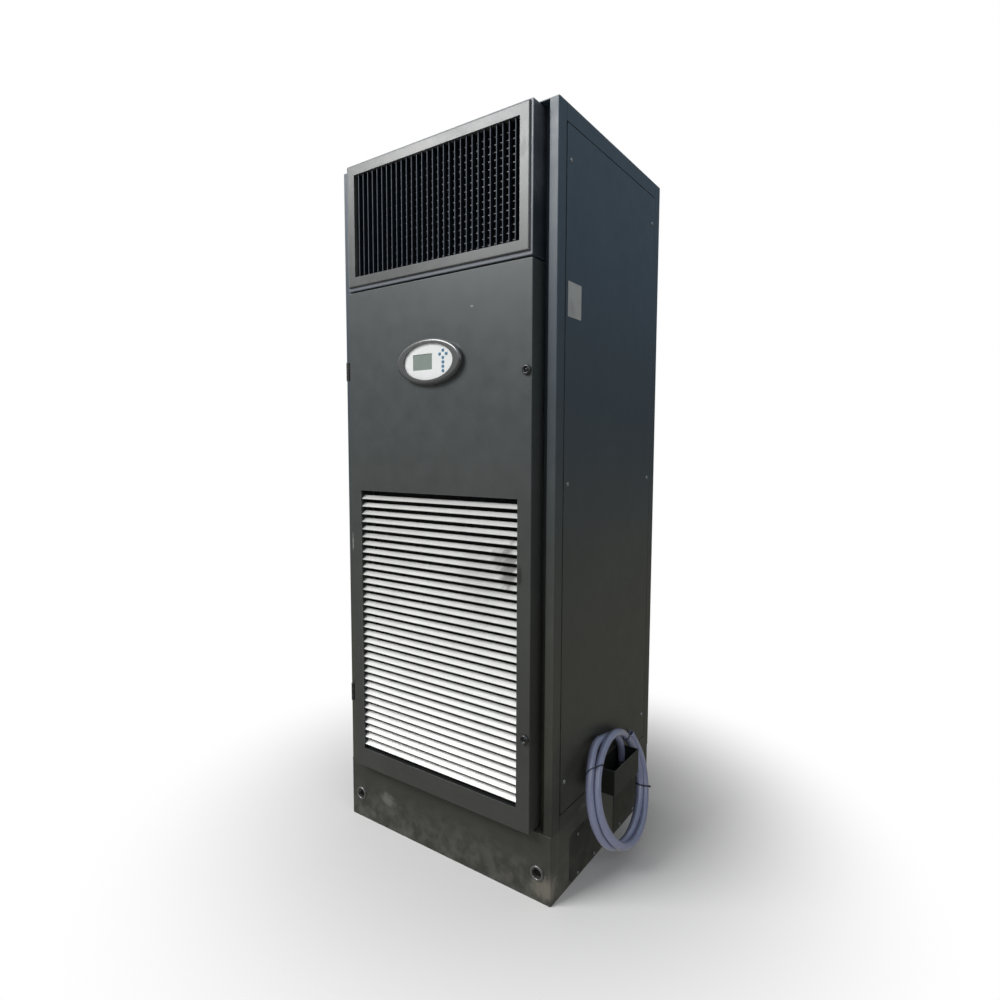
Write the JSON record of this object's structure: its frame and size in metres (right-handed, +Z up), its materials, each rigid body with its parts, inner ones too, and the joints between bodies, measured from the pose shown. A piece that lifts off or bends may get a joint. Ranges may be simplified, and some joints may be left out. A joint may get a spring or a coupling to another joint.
{
  "type": "computer room air conditioner",
  "caption": "Tall free-standing room air conditioner cabinet with a supply grille, a hinged louvred front door with a control panel, a plinth and a coiled drain hose.",
  "frame": {"origin": "on the floor under the middle of the cabinet and its plinth", "axes": "+X to the right as seen from the front, +Y to the rear, +Z up"},
  "size_m": [0.815, 0.645, 1.88],
  "materials": {
    "cabinet_grey": "satin powder coat",
    "plinth_grey": "satin powder coat",
    "galvanised": "galvanised sheet",
    "vane_black": "satin",
    "louvre_silver": "satin",
    "bezel_black": "gloss",
    "face_white": "smooth",
    "display_grey": "gloss",
    "key_blue": "satin",
    "lock_black": "satin",
    "hinge_black": "satin",
    "filter_white": "pleated",
    "label_grey": "satin",
    "ring_grey": "satin",
    "hose_clear": "clear flexible",
    "gland_black": "matte"
  },
  "bodies": {
    "cabinet": {"base_rails": "cabinet_grey", "filter_frame": "galvanised", "filter_pad": "filter_white", "floor_pan": "galvanised", "front_left_post": "cabinet_grey", "front_right_post": "cabinet_grey", "front_surround": "galvanised", "grille_core": "vane_black", "grille_panel": "cabinet_grey", "hose_coil": "hose_clear", "hose_gland": "gland_black", "hose_hood": "cabinet_grey", "hose_lead": "hose_clear", "label_plate": "label_grey", "left_side_panel": "cabinet_grey", "level_vanes": "vane_black", "lower_hinge_post_leaf": "hinge_black", "plinth_beam": "plinth_grey", "plinth_cover_plates": "plinth_grey", "plinth_front": "plinth_grey", "plinth_rear": "plinth_grey", "plinth_rings": "ring_grey", "plinth_sides": "plinth_grey", "rear_left_post": "cabinet_grey", "rear_panel": "cabinet_grey", "rear_right_post": "cabinet_grey", "right_side_panel": "cabinet_grey", "roof_panel": "cabinet_grey", "service_cover": "galvanised", "supply_plenum": "galvanised", "top_rails": "cabinet_grey", "upper_hinge_post_leaf": "hinge_black", "upright_vanes": "vane_black"},
    "door": {"door_panel": "cabinet_grey", "louvre_frame": "galvanised", "louvre_blades": "louvre_silver", "control_bezel": "bezel_black", "control_face": "face_white", "display": "display_grey", "control_keys": "key_blue", "control_box": "galvanised", "upper_lock": "lock_black", "lower_lock": "lock_black", "upper_hinge_door_leaf": "hinge_black", "lower_hinge_door_leaf": "hinge_black"}
  },
  "joints": [
    {"name": "door_hinge", "type": "hinge", "parent": "cabinet", "child": "door", "pos_m": [-0.314, -0.322, 0.8585], "axis": [0, 0, -1], "range_deg": [0, 110]}
  ]
}
